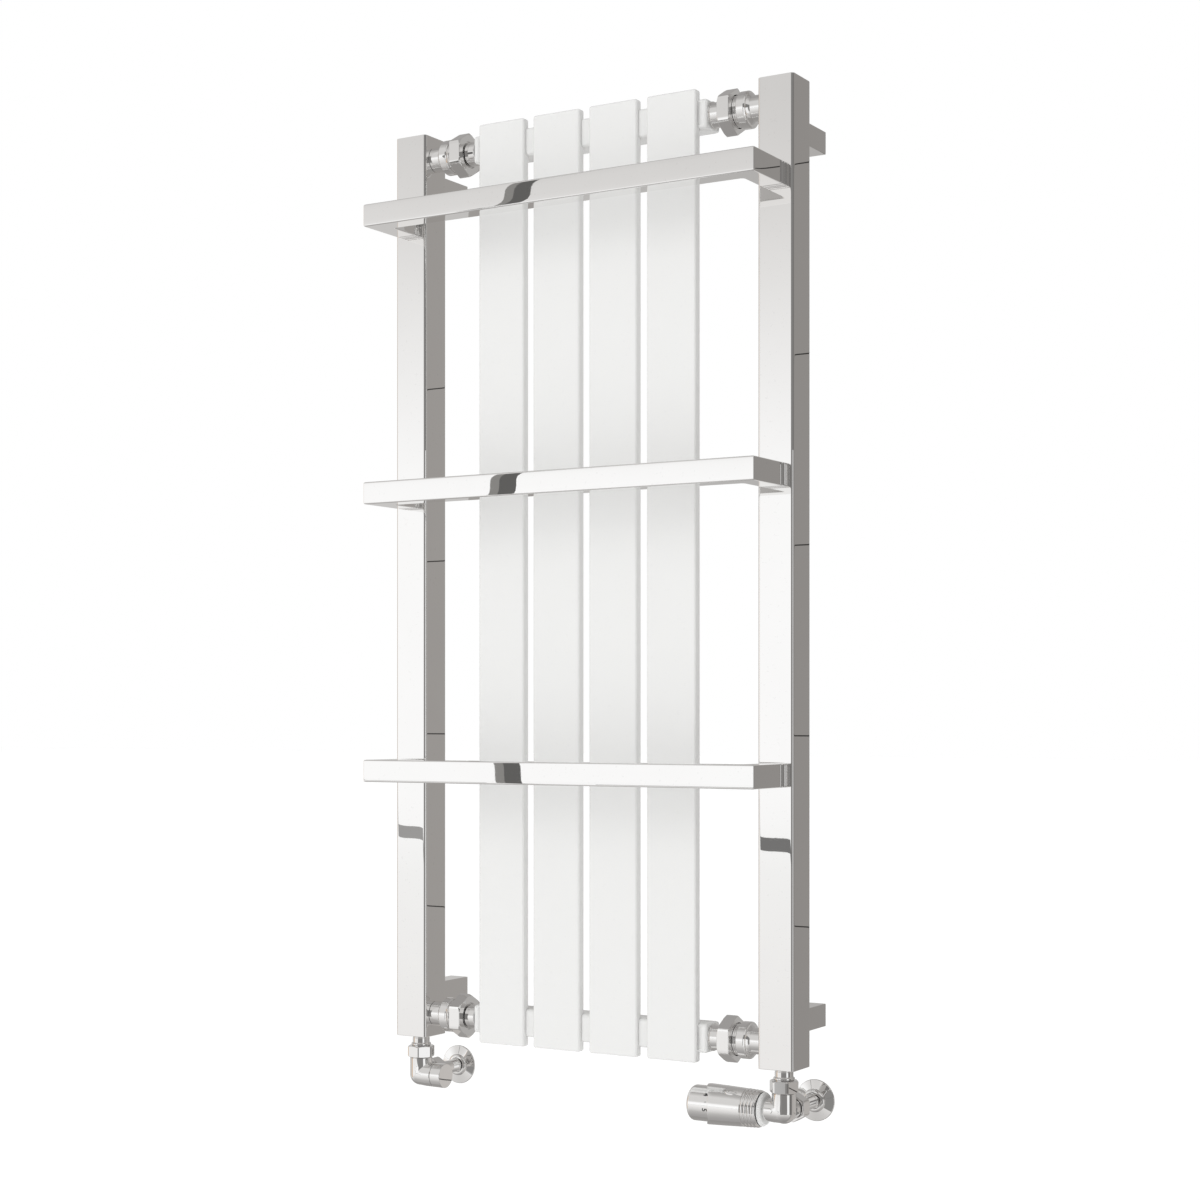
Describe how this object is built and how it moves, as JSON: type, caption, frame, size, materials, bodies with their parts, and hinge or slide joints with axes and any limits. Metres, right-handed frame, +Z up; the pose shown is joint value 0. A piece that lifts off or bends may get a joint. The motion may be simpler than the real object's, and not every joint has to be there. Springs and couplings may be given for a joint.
{
  "type": "towel radiator with valve",
  "caption": "Wall-hung towel radiator: flat white panels between square chrome posts, with square towel bars, unions, a thermostatic angle valve and a lockshield valve.",
  "frame": {"origin": "on the wall plane, midway between the posts and level with the posts' lower ends", "axes": "+X to the viewer's right, +Y into the wall, +Z up"},
  "size_m": [0.4938, 0.166, 1.0662],
  "materials": {
    "chrome": "polished",
    "white_enamel": "satin white enamel",
    "seal_rubber": "matte",
    "valve_brass": "machined",
    "zinc_steel": "zinc plated",
    "chromed_pipe": "polished plating on copper pipe",
    "head_plastic": "moulded",
    "sensor_white": "moulded"
  },
  "bodies": {
    "radiator": {"post_left": "chrome", "post_right": "chrome", "header_bottom": "white_enamel", "header_top": "white_enamel", "panel_1": "white_enamel", "panel_2": "white_enamel", "panel_3": "white_enamel", "panel_4": "white_enamel", "towel_bar_bottom": "chrome", "bar_neck_bottom_left": "chrome", "bar_neck_bottom_right": "chrome", "towel_bar_middle": "chrome", "bar_neck_middle_left": "chrome", "bar_neck_middle_right": "chrome", "towel_bar_top": "chrome", "bar_neck_top_left": "chrome", "bar_neck_top_right": "chrome", "bracket_bottom_left": "chrome", "wall_boss_bottom_left": "zinc_steel", "union_nut_bottom_left": "chrome", "union_seal_bottom_left": "seal_rubber", "post_tail_bottom_left": "chrome", "bracket_top_left": "chrome", "wall_boss_top_left": "zinc_steel", "union_nut_top_left": "chrome", "union_seal_top_left": "seal_rubber", "post_tail_top_left": "chrome", "valve_tail_left": "chrome", "valve_nut_left": "chrome", "valve_body_left": "chrome", "pipe_nut_left": "chrome", "rosette_left": "chrome", "supply_pipe_left": "chromed_pipe", "bracket_bottom_right": "chrome", "wall_boss_bottom_right": "zinc_steel", "union_nut_bottom_right": "chrome", "union_seal_bottom_right": "seal_rubber", "post_tail_bottom_right": "chrome", "bracket_top_right": "chrome", "wall_boss_top_right": "zinc_steel", "union_nut_top_right": "chrome", "union_seal_top_right": "seal_rubber", "post_tail_top_right": "chrome", "valve_tail_right": "chrome", "valve_nut_right": "chrome", "valve_body_right": "chrome", "pipe_nut_right": "chrome", "rosette_right": "chrome", "supply_pipe_right": "chromed_pipe", "trv_gland": "valve_brass", "trv_ring": "chrome", "trv_core": "head_plastic", "trv_sleeve": "chrome", "vent_plug": "chrome"},
    "dial": {"trv_dial": "chrome"},
    "sensor": {"trv_sensor": "sensor_white"},
    "pin": {"trv_pin": "valve_brass"},
    "lock_spindle": {"lockshield_spindle": "valve_brass"},
    "lock_cap": {"lockshield_cap": "chrome"},
    "vent_key_screw": {"vent_screw": "valve_brass"}
  },
  "joints": [
    {"name": "dial_turn", "type": "hinge", "parent": "radiator", "child": "dial", "pos_m": [0.225, -0.075, -0.044], "axis": [-1, 0, 0], "range_deg": [-185, 65]},
    {"name": "sensor_travel", "type": "slide", "parent": "radiator", "child": "sensor", "axis": [-1, 0, 0], "range_m": [-0.00149, 0.00053]},
    {"name": "pin_travel", "type": "slide", "parent": "radiator", "child": "pin", "axis": [-1, 0, 0], "range_m": [-0.00149, 0.00053]},
    {"name": "lock_spindle_turn", "type": "hinge", "parent": "radiator", "child": "lock_spindle", "pos_m": [-0.225, -0.075, -0.044], "axis": [1, 0, 0], "range_deg": [0, 720]},
    {"name": "lock_cap_pull", "type": "slide", "parent": "radiator", "child": "lock_cap", "axis": [1, 0, 0], "range_m": [0, 0.03]},
    {"name": "vent_screw_turn", "type": "hinge", "parent": "radiator", "child": "vent_key_screw", "pos_m": [0.225, -0.055, 0.983], "axis": [0, 1, 0], "range_deg": [0, 360]}
  ],
  "couplings": [
    {"joint": "sensor_travel", "follows": "dial_turn", "m_per_rad": 0.00046},
    {"joint": "pin_travel", "follows": "dial_turn", "m_per_rad": 0.00046}
  ]
}
